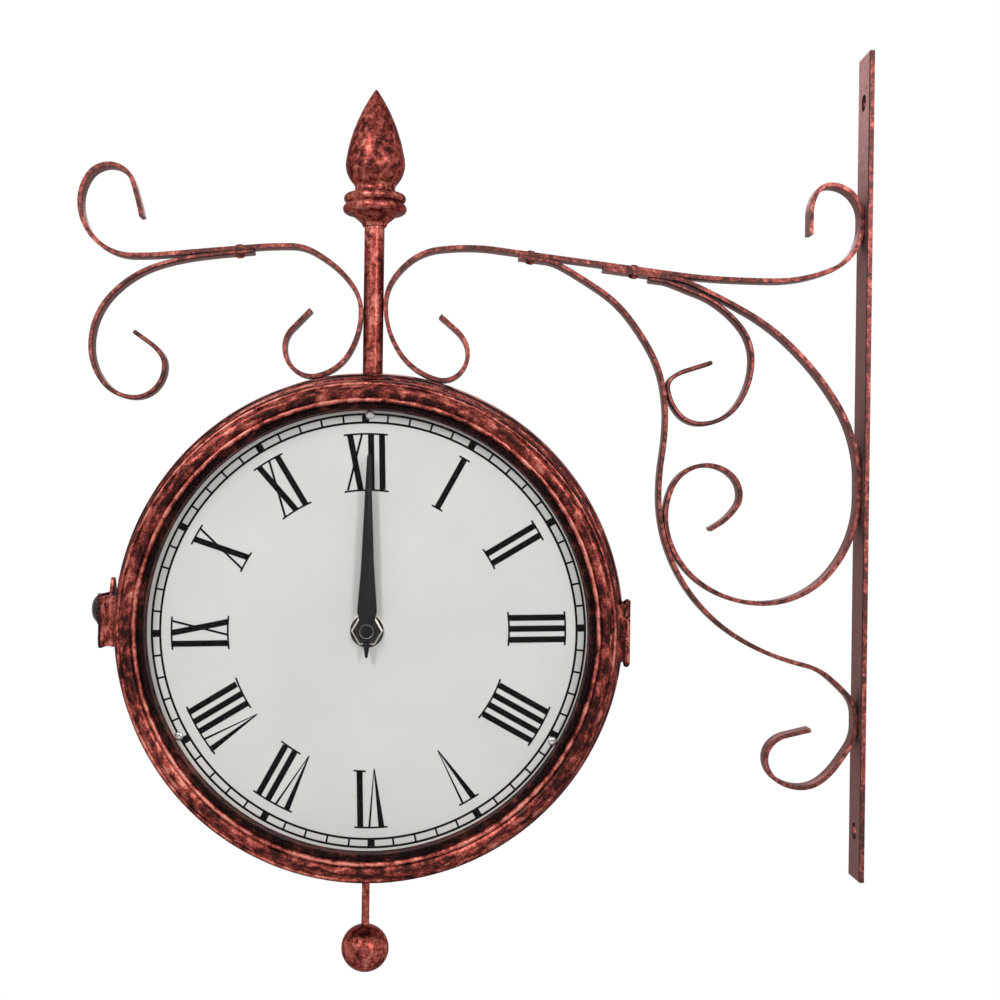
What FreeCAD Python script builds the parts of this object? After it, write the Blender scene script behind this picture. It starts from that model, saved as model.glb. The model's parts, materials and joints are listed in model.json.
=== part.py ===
import FreeCAD, Part
import math
import os

# Double-sided bracket clock. Millimetres, +Z up. The front dial faces -Y and the wall is on the +X side.
# The origin is on the back face of the wall plate, midway between its two screw holes.

# ---- driving dimensions -------------------------------------------------------------------------
drum_to_wall = 113.3       # side of the drum to the wall face
drum_top = 41.4            # top of the drum above the centre of the wall plate
weld_gap = 0.05            # faces that are welded or soldered together
screw_fit = 0.05           # radial clearance of a screw, rivet or running shaft in its hole
door_gap = 0.3             # open line between the door and the drum
flat_top_r = 0.3           # a dome ends in a flat this small
past = 5.0                 # a hole is cut this far past the faces it goes through

# wall plate
plate_length = 390.0
plate_width = 20.0
plate_thickness = 2.5
plate_hole_end = 22.5      # centre of a screw hole from the plate's end
plate_hole_r = 4.0
plate_edge = 0.4

# scroll strips, all from one flat bar
strip_thickness = 2.0
strip_width = 10.0
strip_rivet_r = 1.5
strip_rivet_head_r = 2.6
strip_rivet_head = 1.2
left_rivet_back = 7.0      # rivets, back from the inner end of the arm they hold
brace_rivet_back = 70.0
large_rivet_back = 20.5
brace_back = 75.5          # outer strips' first ends, back from the same end of the bracket arm
large_scroll_back = 35.2
small_scroll_back = 13.3

# drum, the fixed middle of the case
drum_r = 120.2             # in the middle of its barrel-shaped wall
drum_bulge = 1.8           # its wall is this much lower at the edges
drum_width = 28.0
sheet = 1.4                # wall of the spun sheet parts
rim_bead = 0.3             # height of the rolled bead at each edge of the drum
rim_bead_width = 2.6
rim_round = 0.6
rim_flange = 6.5           # depth of the flange turned in at each edge of the drum

# bezels
case_depth = 80.0          # front of one bezel to front of the other
band_setback = 7.6         # outside of the face band, inside the middle of the drum's wall
lip_setback = 1.4          # bezel's lip, inside the drum's edge
band_width = 11.6          # face band, from its outside to the bore of the well
lens_ledge = 2.8           # width of the ledge that carries the glass
lens_depth = 3.8           # glass ledge behind the front of the bezel
dial_depth = 12.0          # front of the dial behind the front of the bezel
dial_flange = 6.0          # width of the flange that carries the dial
dial_flange_thickness = 1.2

# glass and dial
lens_thickness = 2.0
lens_fit = 0.15
dial_thickness = 0.8
dial_fit = 0.3
dial_screw_inset = 2.4     # screw circle inside the well's bore
dial_screw_r = 1.0
dial_screw_head_r = 2.0
dial_screw_head = 1.1
dial_screw_tail = 2.0
dial_screw_angles = (90.0, 210.0, 330.0)

# top rod, finial, drop rod and ball
rod_r = 4.75
rod_length = 69.25
rod_thread_r = 3.0
rod_thread_in_drum = 11.0
rod_thread_in_finial = 12.0
nut_across_flats = 10.0
nut_thickness = 5.0
nut_seat = 0.5             # nut's corners touch the drum's curved wall, its middle stands off
finial_height = 64.9
finial_base_r = 5.6
finial_collar_r = 15.1
finial_neck_r = 9.7
finial_spear_r = 14.0
finial_tip_r = 0.8
drop_rod_r = 1.85
drop_rod_in_drum = 7.0
drop_nut_across_flats = 7.0
drop_nut_thickness = 3.0
ball_r = 11.25
ball_drop = 31.8           # underside of the drum to the centre of the ball
ball_hole = 6.0

# hinge on the right of the case
pin_r = 0.9
knuckle_r = 1.6
leaf_thickness = 1.0
leaf_width = 8.5
leaf_height = 28.0
top_knuckle = 8.3
middle_knuckle = 13.3
bottom_knuckle = 7.6
knuckle_gap = 0.2
pin_head_r = 1.5
pin_head = 1.0
leaf_seat = 0.4            # leaf's flat outside the drum's edge
leaf_rivet_r = 1.1
leaf_rivet_head_r = 2.0
leaf_rivet_head = 0.8
leaf_rivet_spread = 16.0
case_rivet_grip = 4.0
door_rivet_grip = 6.5
pad_root = 1.0             # the door's pads start this far inside its face band
pad_margin = 1.0           # and end this far inside the piece they carry

# latch on the left of the case
latch_z = 7.0              # thumb screw above the centre of the dials
latch_y = -2.0
latch_plate_thickness = 1.8
latch_plate_r = 8.5
latch_plate_end_r = 3.0
latch_plate_up = 12.0      # thumb screw to the centre of the plate's top end
latch_plate_down = 15.0
latch_boss_r = 4.5
latch_boss_length = 6.0
strap_thickness = 1.2
strap_clearance = 0.4      # strap over the latch plate
strap_up = 8.0             # thumb screw to the strap's top edge
strap_down = 17.0
strap_tail = 5.0           # strap beyond the thumb screw's axis
strap_corner = 3.0
strap_front = 11.0         # strap's front edge ahead of the hinge line
strap_pad_back = 2.0       # rear edge of its pad ahead of the hinge line
strap_rivet_front = 6.5
strap_rivet_grip = 6.0
strap_play = 0.9           # washer over the strap, with the screw half undone
thumb_r = 1.95
thumb_fit = 0.05
slot_play = 0.35
washer_r = 6.0
washer_thickness = 1.0
thumb_head_r = 7.5
thumb_head_rim = 2.6
thumb_head_dome = 2.4
thumb_notches = 20
thumb_notch_r = 0.6
strap_rivet_spread = 15.0

# quartz movement, one behind each dial
movement_width = 56.0
movement_depth = 15.0
movement_wall = 1.2
bay_height = 15.0          # battery bay along the bottom
battery_r = 7.1
battery_length = 49.2
battery_nub_r = 2.7
battery_nub = 1.3
battery_bed = 0.2
contact_thickness = 0.5
contact_size = 9.0
bush_r = 4.0
bush_length = 3.6          # threaded bush in front of the movement's face
hour_tube_r = 2.5
arbor_r = 1.7
pivot_r = 0.8
pivot_length = 0.7
nut_flange_r = 8.0
nut_flange = 0.6
fixing_nut_across_flats = 12.0
fixing_nut_thickness = 2.0

# motion work: cannon pinion, motion wheel with its pinion, hour wheel
train_distance = 12.0
cannon_teeth, motion_teeth = 12, 36
motion_pinion_teeth, hour_teeth = 10, 40
centre_teeth = 60
centre_wheel_r = 9.6
gear_face = 1.2
pinion_face = 1.9
gear_step = 0.25           # axial clearance between neighbouring wheels
set_arbor_r = 1.5
set_knob_r = 4.5
set_knob_length = 4.0
set_knob_flutes = 16
set_knob_flute_r = 0.45

# hands
hour_hand_length = 57.0
hour_hand_width = 9.0
minute_hand_length = 80.0
minute_hand_width = 7.6
hour_tail = 8.0
minute_tail = 12.0
hand_shoulder = 9.0        # widest place of a hand, above its axis
hand_plate = 0.4
hand_ridge = 0.6
hour_hub_r = 4.5
minute_hub_r = 4.2
hand_gap = 0.4             # bush to hour hand
hands_gap = 0.7            # hour hand to minute hand
cap_r = 3.9
cap_height = 1.5

# ends of the straight arms, on the strips' centre lines
# beside the rod, as (right of its axis, above the top of the drum)
left_arm_slope = 5.4
left_arm_outer = (-100.0, 54.5)
left_arm_run = 43.5
right_arm_start = (56.9, 58.9)
# by the wall, as (from the wall face, above the plate's centre)
right_arm_end = (-90.0, 89.5)

# ---- places worked out from them -----------------------------------------------------------------
clock_x = -(drum_r + drum_to_wall)
clock_z = drum_top - drum_r
drum_edge_r = drum_r - drum_bulge
bezel_r = drum_r - band_setback
lip_r = drum_edge_r - lip_setback
well_r = bezel_r - band_width
half_drum = drum_width / 2
plate_hole_z = plate_length / 2 - plate_hole_end
face_y = -case_depth / 2
lens_back_y = face_y + lens_depth
dial_y = face_y + dial_depth
dial_back_y = dial_y + dial_thickness
rear_face_y = dial_back_y + movement_depth
bush_end_y = dial_back_y - bush_length
hour_hand_y = bush_end_y - hand_gap
hour_hand_front_y = hour_hand_y - hand_plate - hand_ridge
minute_hand_y = hour_hand_front_y - hands_gap
minute_hand_front_y = minute_hand_y - hand_plate - hand_ridge
leaf_x = drum_edge_r + leaf_seat
hinge_x = leaf_x + knuckle_r
hinge_y = -half_drum - door_gap / 2
strap_x = drum_r + weld_gap + latch_plate_thickness + strap_clearance
washer_x = strap_x + strap_thickness + strap_play
thumb_head_x = washer_x + washer_thickness + screw_fit
strip_touch_r = drum_r + weld_gap + strip_thickness / 2
strip_touch_rod = rod_r + weld_gap + strip_thickness / 2
strip_touch_plate = -(plate_thickness + weld_gap + strip_thickness / 2)

up = FreeCAD.Vector(0, 0, 1)
along_x = FreeCAD.Vector(1, 0, 0)
along_y = FreeCAD.Vector(0, 1, 0)


# ---- small helpers -------------------------------------------------------------------------------
def vector(x, y, z):
    return FreeCAD.Vector(x, y, z)


def box(x0, x1, y0, y1, z0, z1):
    return Part.makeBox(x1 - x0, y1 - y0, z1 - z0, vector(x0, y0, z0))


def rod(radius, start, end):
    """Cylinder of a radius from one point to another."""
    axis = end - start
    return Part.makeCylinder(radius, axis.Length, start, axis)


def rod_y(radius, y0, y1, x=0.0, z=0.0):
    return rod(radius, vector(x, y0, z), vector(x, y1, z))


def outline(start, steps, place):
    """Closed wire through steps: a pair is a straight line, two pairs are an arc through the first."""
    edges = []
    here = place(*start)
    for step in steps + [start]:
        there = place(*step[-2:])
        if (there - here).Length < 1e-6:
            continue
        if len(step) == 4:
            edges.append(Part.Arc(here, place(*step[:2]), there).toShape())
        else:
            edges.append(Part.LineSegment(here, there).toShape())
        here = there
    return Part.Wire(edges)


def turned_about_y(start, steps):
    """Solid of revolution about the clock's axis from an outline of (radius, y)."""
    wire = outline(start, steps, lambda r, y: vector(r, y, 0))
    return Part.Face(wire).revolve(vector(0, 0, 0), along_y, 360)


def turned_about_z(start, steps, base_z):
    """Solid of revolution about a vertical axis from an outline of (radius, height)."""
    wire = outline(start, steps, lambda r, h: vector(r, 0, base_z + h))
    return Part.Face(wire).revolve(vector(0, 0, base_z), up, 360)


def turned_about_x(start, steps, z):
    """Solid of revolution about a line along X from an outline of (radius, distance out to the left)."""
    wire = outline(start, steps, lambda r, out: vector(-out, latch_y, z + r))
    return Part.Face(wire).revolve(vector(0, latch_y, z), along_x, 360)


def hexagon(across_flats, start, end):
    """Hexagonal prism from one point to another, two corners in the XY plane's direction."""
    axis = end - start
    corner_r = across_flats / math.sqrt(3)
    side = up if abs(axis.z) < 0.5 * axis.Length else along_x
    across = axis.cross(side)
    across.normalize()
    corners = []
    for k in range(7):
        turn = math.radians(60 * k)
        corners.append(start + across * (corner_r * math.cos(turn)) + side * (corner_r * math.sin(turn)))
    return Part.Face(Part.makePolygon(corners)).extrude(axis)


def to_front(shape):
    """From the clock's own centre to its place, the front side facing -Y."""
    placed = shape.copy()
    placed.translate(vector(clock_x, 0, clock_z))
    return placed


def to_rear(shape):
    """The same piece on the rear side, turned half a turn about the rod."""
    placed = shape.copy()
    placed.rotate(vector(0, 0, 0), up, 180)
    return to_front(placed)


# ---- strips: flat bar bent edgewise through poses (x, z, heading) -----------------------------------
def heading(degrees):
    return vector(math.cos(math.radians(degrees)), 0, math.sin(math.radians(degrees)))


def left_of(direction):
    return vector(-direction.z, 0, direction.x)


def beside(pose, distance):
    """A pose moved square to its heading, to the left."""
    x, z, angle = pose
    side = left_of(heading(angle)) * distance
    return (x + side.x, z + side.z, angle)


def ahead(pose, distance):
    """A pose moved straight on along its heading."""
    x, z, angle = pose
    step = heading(angle) * distance
    return (x + step.x, z + step.z, angle)


def reversed_pose(pose):
    x, z, angle = pose
    return (x, z, angle + 180)


def bend(start, direction, end):
    """One tangent arc or straight run: its start, start heading, end, end heading and signed radius."""
    chord = end - start
    sine = direction.x * chord.z - direction.z * chord.x
    if abs(sine) < 1e-6 * chord.Length:
        return (start, direction, end, direction, None)
    radius = chord.Length ** 2 / (2 * sine)
    chord_dir = chord * (1 / chord.Length)
    end_dir = chord_dir * (2 * direction.dot(chord_dir)) - direction
    return (start, direction, end, end_dir, radius)


def biarc(pose_a, pose_b):
    """Two tangent arcs from one pose to the next, with equal tangent lengths."""
    a, b = vector(pose_a[0], 0, pose_a[1]), vector(pose_b[0], 0, pose_b[1])
    ta, tb = heading(pose_a[2]), heading(pose_b[2])
    span, both = b - a, ta + tb
    spread = 2 * (1 - ta.dot(tb))
    if spread < 1e-9:
        if abs(ta.x * span.z - ta.z * span.x) < 1e-6:
            return [bend(a, ta, b)]
        length = span.dot(span) / (4 * span.dot(tb))
    else:
        reach = span.dot(both)
        length = (-reach + math.sqrt(reach ** 2 + spread * span.dot(span))) / spread
    joint = (a + ta * length + b - tb * length) * 0.5
    first = bend(a, ta, joint)
    return [first, bend(joint, first[3], b)]


def offset_edge(piece, distance):
    """The edge beside one bend, at a distance to its left."""
    start, start_dir, end, end_dir, radius = piece
    a = start + left_of(start_dir) * distance
    b = end + left_of(end_dir) * distance
    if radius is None:
        return Part.LineSegment(a, b).toShape()
    centre = start + left_of(start_dir) * radius
    half_way = (start - centre) + (end - centre)
    turn_over = (end - start).dot(start_dir) < 0
    if half_way.Length < 1e-6 * abs(radius):
        half_way = start_dir * 1.0
        turn_over = False
    half_way.normalize()
    if turn_over:
        half_way = half_way * -1
    middle = centre + half_way * (abs(radius) - distance * (1 if radius > 0 else -1))
    return Part.Arc(a, middle, b).toShape()


def strip(poses):
    """Flat bar along a chain of biarcs."""
    bends = []
    for here, there in zip(poses, poses[1:]):
        bends += biarc(here, there)
    half = strip_thickness / 2
    left = [offset_edge(piece, half) for piece in bends]
    right = [offset_edge(piece, -half) for piece in bends]
    ends = []
    for at_start, piece in ((True, bends[0]), (False, bends[-1])):
        point, direction = (piece[0], piece[1]) if at_start else (piece[2], piece[3])
        side = left_of(direction) * half
        ends.append(Part.LineSegment(point + side, point - side).toShape())
    edges = left + [ends[1]] + right[::-1] + [ends[0]]
    face = Part.Face(Part.Wire(Part.__sortEdges__(edges)))
    face.translate(vector(0, -strip_width / 2, 0))
    return face.extrude(along_y * strip_width)


def from_rod(dx, rise, angle=0.0):
    """Pose beside the rod: right of its axis and above the top of the drum."""
    return (clock_x + dx, drum_top + rise, angle)


def on_drum(dx, to_left):
    """Pose of a strip that lies on the top of the drum, beside the rod."""
    rise = math.sqrt(strip_touch_r ** 2 - dx ** 2) - drum_r
    lean = math.degrees(math.asin(dx / strip_touch_r))
    return from_rod(dx, rise, (180 if to_left else 0) - lean)


def left_arm():
    """Straight part of the upper left scroll, heading outwards to inwards."""
    start = from_rod(left_arm_outer[0], left_arm_outer[1], left_arm_slope)
    return start, ahead(start, left_arm_run)


def right_arm():
    """Straight part of the bracket arm, from the rod's side to the wall's side."""
    x0, z0, _ = from_rod(*right_arm_start)
    x1, z1 = right_arm_end
    angle = math.degrees(math.atan2(z1 - z0, x1 - x0))
    return (x0, z0, angle), (x1, z1, angle)


def brace_at_small_scroll():
    return (-96.0, 35.0, -81.0)


def brace_at_large_scroll():
    return (-95.2, -33.0, -76.0)


def upper_left_scroll_poses():
    arm_start, arm_end = left_arm()
    return [
        from_rod(-109.9, 72.2, 101),
        from_rod(-125.4, 96.7, 180),
        from_rod(-139.1, 79.3, 270),
        from_rod(-114.0, 53.9, 0),
        arm_start,
        arm_end,
        from_rod(-39.0, 59.4, 0),
        from_rod(-19.0, 50.6, -38),
        from_rod(-strip_touch_rod, 28.3, 270),
        on_drum(-26.1, True),
        from_rod(-41.6, 11.4, 90),
        from_rod(-38.3, 20.0, 46),
        ahead(from_rod(-38.3, 20.0, 46), 12.9),
    ]


def lower_left_scroll_poses():
    arm_end = left_arm()[1]
    start = reversed_pose(beside(arm_end, -strip_thickness))
    return [
        start,
        ahead(start, 12.0),
        from_rod(-101.7, 49.4, 198),
        from_rod(-133.1, 11.3, 270),
        from_rod(-112.4, -13.1, 0),
        from_rod(-98.2, 1.8, 90),
        from_rod(-105.3, 12.7, 145),
        ahead(from_rod(-105.3, 12.7, 145), 9.2),
    ]


def bracket_arm_poses():
    arm_start, arm_end = right_arm()
    return [
        ahead(from_rod(39.3, 20.5, -41), -10.1),
        from_rod(39.3, 20.5, -41),
        from_rod(44.9, 9.3, 270),
        on_drum(30.6, True),
        from_rod(strip_touch_rod, 32.3, 90),
        from_rod(17.3, 53.0, 38),
        from_rod(45.0, 59.6, 0),
        arm_start,
        arm_end,
        (-45.0, 87.2, 0),
        (strip_touch_plate, 113.5, 90),
        (strip_touch_plate, 117.5, 90),
        (-18.2, 132.8, 180),
        (-27.5, 119.0, 270),
        (-27.5, 109.3, 270),
    ]


def brace_poses():
    start = beside(ahead(right_arm()[1], -brace_back), -strip_thickness)
    return [
        start,
        ahead(start, 13.0),
        (-140.6, 90.4, -30),
        (-113.4, 69.8, -51),
        brace_at_small_scroll(),
        (-94.8, 22.0, -90),
        (-97.5, -14.0, -90),
        brace_at_large_scroll(),
        (-79.2, -64.5, -50),
        (-38.8, -91.0, -18.5),
        (-16.5, -99.4, -39),
        (strip_touch_plate, -118.0, -90),
        (strip_touch_plate, -123.0, -90),
        (-12.2, -141.3, -126),
        (-29.0, -151.8, 180),
        (-45.5, -138.4, 90),
        (-36.0, -127.3, 14),
        ahead((-36.0, -127.3, 14), 11.8),
    ]


def small_scroll_poses():
    start = beside(ahead(right_arm()[1], -small_scroll_back), -2 * strip_thickness)
    touch = reversed_pose(beside(brace_at_small_scroll(), strip_thickness + weld_gap))
    return [
        start,
        ahead(start, 6.0),
        (-88.0, 83.4, -22),
        (-73.6, 77.2, -31),
        (-54.4, 49.5, -90),
        (-78.5, 19.3, 180),
        touch,
        (-85.6, 44.3, 18),
        ahead((-85.6, 44.3, 18), 13.0),
    ]


def large_scroll_poses():
    start = beside(ahead(right_arm()[1], -large_scroll_back), -strip_thickness)
    touch = reversed_pose(beside(brace_at_large_scroll(), strip_thickness + weld_gap))
    return [
        start,
        ahead(start, 33.0),
        (-76.4, 82.1, -25.5),
        (-39.8, 60.0, -41),
        (strip_touch_plate, -7.0, -90),
        (strip_touch_plate, -15.0, -90),
        (-48.6, -65.2, 180),
        touch,
        (-75.0, -0.2, 0),
        (-59.2, -14.2, 270),
        (-64.6, -24.3, 226),
        (-73.4, -30.6, 212),
    ]


def strip_rivet(pose, layers):
    """Rivet through layers of strip, square to the pose, whose point is the first layer's centre line."""
    x, z, angle = pose
    side = left_of(heading(angle))
    top = vector(x, 0, z) + side * (strip_thickness / 2)
    bottom = top - side * (strip_thickness * layers)
    shank = rod(strip_rivet_r, bottom, top)
    upper = Part.makeCone(strip_rivet_head_r, strip_rivet_head_r * 0.6, strip_rivet_head, top, side)
    lower = Part.makeCone(strip_rivet_head_r, strip_rivet_head_r * 0.6, strip_rivet_head, bottom, side * -1)
    return shank.fuse([upper, lower])


def rivet_poses():
    left = ahead(left_arm()[1], -left_rivet_back)
    brace = ahead(right_arm()[1], -brace_rivet_back)
    large = ahead(right_arm()[1], -large_rivet_back)
    return [left, brace, large]


def rivet_hole(pose):
    x, z, angle = pose
    side = left_of(heading(angle)) * (4 * strip_thickness)
    centre = vector(x, 0, z)
    return rod(strip_rivet_r + screw_fit, centre - side, centre + side)


def add_strips(parts):
    left, brace, large = rivet_poses()
    plain = {
        "upper_left_scroll": (upper_left_scroll_poses(), [left]),
        "lower_left_scroll": (lower_left_scroll_poses(), [left]),
        "bracket_arm": (bracket_arm_poses(), [brace, large]),
        "brace_scroll": (brace_poses(), [brace]),
        "small_scroll": (small_scroll_poses(), []),
        "large_scroll": (large_scroll_poses(), [large]),
    }
    for name, (poses, rivets) in plain.items():
        shape = strip(poses)
        for pose in rivets:
            shape = shape.cut(rivet_hole(pose))
        parts[name] = shape
    parts["strip_rivets"] = Part.makeCompound([strip_rivet(pose, 2) for pose in rivet_poses()])


def wall_plate():
    half_width, half_length = plate_width / 2, plate_length / 2
    plate = box(-plate_thickness, 0, -half_width, half_width, -half_length, half_length)
    front_edges = [e for e in plate.Edges if abs(e.CenterOfMass.x + plate_thickness) < 1e-6]
    plate = plate.makeChamfer(plate_edge, front_edges)
    for z in (-plate_hole_z, plate_hole_z):
        plate = plate.cut(rod(plate_hole_r, vector(-plate_thickness - past, 0, z), vector(past, 0, z)))
    return plate


# ---- case -------------------------------------------------------------------------------------------
def leaf_rivet_places(side):
    """Centres of a leaf's two rivets: side -1 is the door's leaf, +1 the drum's."""
    y = hinge_y + side * (knuckle_r + leaf_width) / 2
    return [(y, -leaf_rivet_spread / 2), (y, leaf_rivet_spread / 2)]


def leaf_rivet_holes(side):
    holes = []
    for y, z in leaf_rivet_places(side):
        holes.append(rod(leaf_rivet_r + screw_fit, vector(leaf_x - door_rivet_grip - past, y, z),
                         vector(leaf_x + past, y, z)))
    return holes


def drum_shell():
    flange_r = drum_edge_r - rim_flange
    bead_top = drum_edge_r + rim_bead
    edge_y, bead_y, plain_y = half_drum, half_drum - 2 * rim_round, half_drum - rim_bead_width
    shell = turned_about_y((flange_r, -edge_y), [
        (drum_edge_r - rim_round, -edge_y),
        (bead_top, -bead_y, drum_edge_r, -plain_y),
        (drum_r, 0, drum_edge_r, plain_y),
        (bead_top, bead_y, drum_edge_r - rim_round, edge_y),
        (flange_r, edge_y),
        (flange_r, edge_y - sheet),
        (drum_edge_r - sheet, edge_y - sheet),
        (drum_r - sheet, 0, drum_edge_r - sheet, -edge_y + sheet),
        (flange_r, -edge_y + sheet),
    ])
    leaf_y0, leaf_y1 = hinge_y + knuckle_r, hinge_y + leaf_width + door_gap
    leaf_z = leaf_height / 2 + door_gap
    shell = shell.fuse(box(drum_edge_r - 2 * sheet, leaf_x, leaf_y0 + door_gap, leaf_y1, -leaf_z, leaf_z))
    shell = shell.cut(box(leaf_x, drum_r + past, leaf_y0, leaf_y1, -leaf_z, leaf_z))
    hanger_hole = rod(rod_thread_r + screw_fit, vector(0, 0, drum_r - past), vector(0, 0, drum_r + past))
    drop_hole = rod(drop_rod_r + screw_fit, vector(0, 0, -drum_r - past), vector(0, 0, -drum_r + past))
    boss_hole = rod(latch_boss_r + screw_fit, vector(-drum_r - past, latch_y, latch_z),
                    vector(-drum_r + past, latch_y, latch_z))
    return shell.cut([hanger_hole, drop_hole, boss_hole] + leaf_rivet_holes(1)).removeSplitter()


def bezel_side_steps(lip_y):
    """Outer side of a bezel from its face band back to the lip, as (radius, y) steps."""
    return [
        (bezel_r, face_y + 1.0, bezel_r, face_y + 2.4),
        (bezel_r - 0.7, face_y + 3.2),
        (bezel_r + 1.5, face_y + 5.2, bezel_r + 0.4, face_y + 6.8),
        (bezel_r + 1.3, lip_y - 12.0, lip_r - 1.2, lip_y - 7.0),
        (lip_r - 0.2, lip_y - 5.8, lip_r - 0.9, lip_y - 4.6),
        (lip_r - 0.9, lip_y - 3.6),
        (lip_r + 0.4, lip_y - 1.9, lip_r - 0.4, lip_y),
    ]


def bezel_solid(lip_y):
    """The bezel as if it were solid through."""
    ridge_r = well_r + lens_ledge
    return turned_about_y((0, lip_y), [
        (0, lens_back_y),
        (ridge_r, lens_back_y),
        (ridge_r, face_y + 1.4),
        (ridge_r + 1.1, face_y, ridge_r + 2.4, face_y + 1.1),
        (bezel_r - 4.2, face_y + 0.1, bezel_r - 1.0, face_y + 1.3),
    ] + bezel_side_steps(lip_y))


def bezel_inside(lip_y):
    """The hollow between the well and the outer side, open at the back except for the lip's flange."""
    well_outer = well_r + sheet
    ridge_outer = well_r + lens_ledge + sheet
    side_r = bezel_r - sheet
    flange_y = lip_y - sheet
    hollow = turned_about_y((well_outer, lip_y), [
        (well_outer, lens_back_y + sheet),
        (ridge_outer, lens_back_y + sheet),
        (ridge_outer, face_y + 2.6),
        (side_r - 1.2, face_y + 2.9),
        (side_r - 1.0, face_y + 6.0),
        (side_r + 0.3, lip_y - 13.0, lip_r - 3.0, lip_y - 6.4),
        (lip_r - 2.4, flange_y),
        (lip_r - rim_flange, flange_y),
        (lip_r - rim_flange, lip_y),
    ])
    behind_dial = rod_y(well_outer, dial_back_y + dial_flange_thickness, lip_y + 1)
    return [hollow, behind_dial]


def dial_screw_places():
    screw_circle = well_r - dial_screw_inset
    places = []
    for angle in dial_screw_angles:
        turn = math.radians(angle)
        places.append((screw_circle * math.cos(turn), screw_circle * math.sin(turn)))
    return places


def bezel(lip_y, pads=(), holes=()):
    shape = bezel_solid(lip_y)
    for pad in pads:
        shape = shape.fuse(pad)
    well = rod_y(well_r, lens_back_y - 1, dial_back_y)
    flange_hole = rod_y(well_r - dial_flange, lens_back_y - 1, lip_y + 1)
    screw_holes = []
    for x, z in dial_screw_places():
        screw_holes.append(rod_y(dial_screw_r + screw_fit, dial_back_y - past, dial_back_y + past, x, z))
    return shape.cut([well, flange_hole] + bezel_inside(lip_y) + screw_holes + list(holes)).removeSplitter()


def strap_rivet_places():
    y = hinge_y - strap_rivet_front
    middle = latch_z + (strap_up - strap_down) / 2
    return [(y, middle - strap_rivet_spread / 2), (y, middle + strap_rivet_spread / 2)]


def strap_rivet_holes():
    holes = []
    for y, z in strap_rivet_places():
        holes.append(rod(leaf_rivet_r + screw_fit, vector(-strap_x + strap_rivet_grip + past, y, z),
                         vector(-strap_x - past, y, z)))
    return holes


def door_bezel():
    """Front bezel with the flat pads that carry its hinge leaf and its latch strap."""
    leaf_pad = box(bezel_r - pad_root, leaf_x, hinge_y - leaf_width, hinge_y - knuckle_r - door_gap,
                   -leaf_height / 2 + pad_margin, leaf_height / 2 - pad_margin)
    strap_pad = box(-strap_x, -bezel_r + pad_root, hinge_y - strap_front, hinge_y - strap_pad_back,
                    latch_z - strap_down + pad_margin, latch_z + strap_up - pad_margin)
    return bezel(-half_drum - door_gap, (leaf_pad, strap_pad), leaf_rivet_holes(-1) + strap_rivet_holes())


def lens():
    edge_r = well_r + lens_ledge - lens_fit
    bevel = 0.4
    front_y = lens_back_y - lens_thickness
    return turned_about_y((0, lens_back_y), [
        (0, front_y),
        (edge_r - bevel, front_y),
        (edge_r, front_y + bevel),
        (edge_r, lens_back_y),
    ])


def dial():
    disc = rod_y(well_r - dial_fit, dial_y, dial_back_y)
    holes = [rod_y(bush_r + screw_fit, dial_y - 1, dial_back_y + 1)]
    for x, z in dial_screw_places():
        holes.append(rod_y(dial_screw_r + screw_fit, dial_y - 1, dial_back_y + 1, x, z))
    return disc.cut(holes)


def dial_screws():
    screws = []
    for x, z in dial_screw_places():
        head = turned_about_y((0, dial_y), [
            (dial_screw_head_r, dial_y),
            (dial_screw_head_r, dial_y - dial_screw_head / 2),
            (dial_screw_head_r * 0.8, dial_y - dial_screw_head * 0.9, dial_screw_head_r * 0.3, dial_y - dial_screw_head),
            (0, dial_y - dial_screw_head),
        ])
        head.translate(vector(x, 0, z))
        slot = box(x - 3, x + 3, dial_y - dial_screw_head - 1, dial_y - dial_screw_head * 0.55, z - 0.25, z + 0.25)
        shank_end = dial_back_y + dial_flange_thickness + dial_screw_tail
        screws.append(head.cut(slot).fuse(rod_y(dial_screw_r, dial_y, shank_end, x, z)))
    return Part.makeCompound(screws)


# ---- hinge and latch --------------------------------------------------------------------------------
def knuckle_spans():
    """Lower and upper end of the bottom, middle and top knuckle."""
    total = bottom_knuckle + middle_knuckle + top_knuckle + 2 * knuckle_gap
    z = -total / 2
    spans = []
    for length in (bottom_knuckle, middle_knuckle, top_knuckle):
        spans.append((z, z + length))
        z += length + knuckle_gap
    return spans


def hinge_leaf(side, spans, bore_r):
    """One leaf: a plate beside the pin, joined to the knuckles of its own."""
    start, end = hinge_y + side * (knuckle_r + door_gap), hinge_y + side * leaf_width
    y0, y1 = min(start, end), max(start, end)
    leaf = box(leaf_x, leaf_x + leaf_thickness, y0, y1, -leaf_height / 2, leaf_height / 2)
    for z0, z1 in spans:
        low, high = max(z0, -leaf_height / 2), min(z1, leaf_height / 2)
        web_ys = sorted((hinge_y, start))
        web = box(leaf_x, leaf_x + leaf_thickness, web_ys[0], web_ys[1], low, high)
        knuckle = rod(knuckle_r, vector(hinge_x, hinge_y, z0), vector(hinge_x, hinge_y, z1))
        leaf = leaf.fuse([web, knuckle])
    for z0, z1 in spans:
        leaf = leaf.cut(rod(bore_r, vector(hinge_x, hinge_y, z0 - 1), vector(hinge_x, hinge_y, z1 + 1)))
    return leaf.cut(leaf_rivet_holes(side)).removeSplitter()


def hinge_pin():
    bottom, top = knuckle_spans()[0][0], knuckle_spans()[2][1]
    shank = rod(pin_r, vector(hinge_x, hinge_y, bottom), vector(hinge_x, hinge_y, top + 0.6))
    head = Part.makeSphere(pin_head_r, vector(hinge_x, hinge_y, bottom), vector(0, 0, 1), -90, 0, 360)
    return shank.fuse(head)


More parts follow.
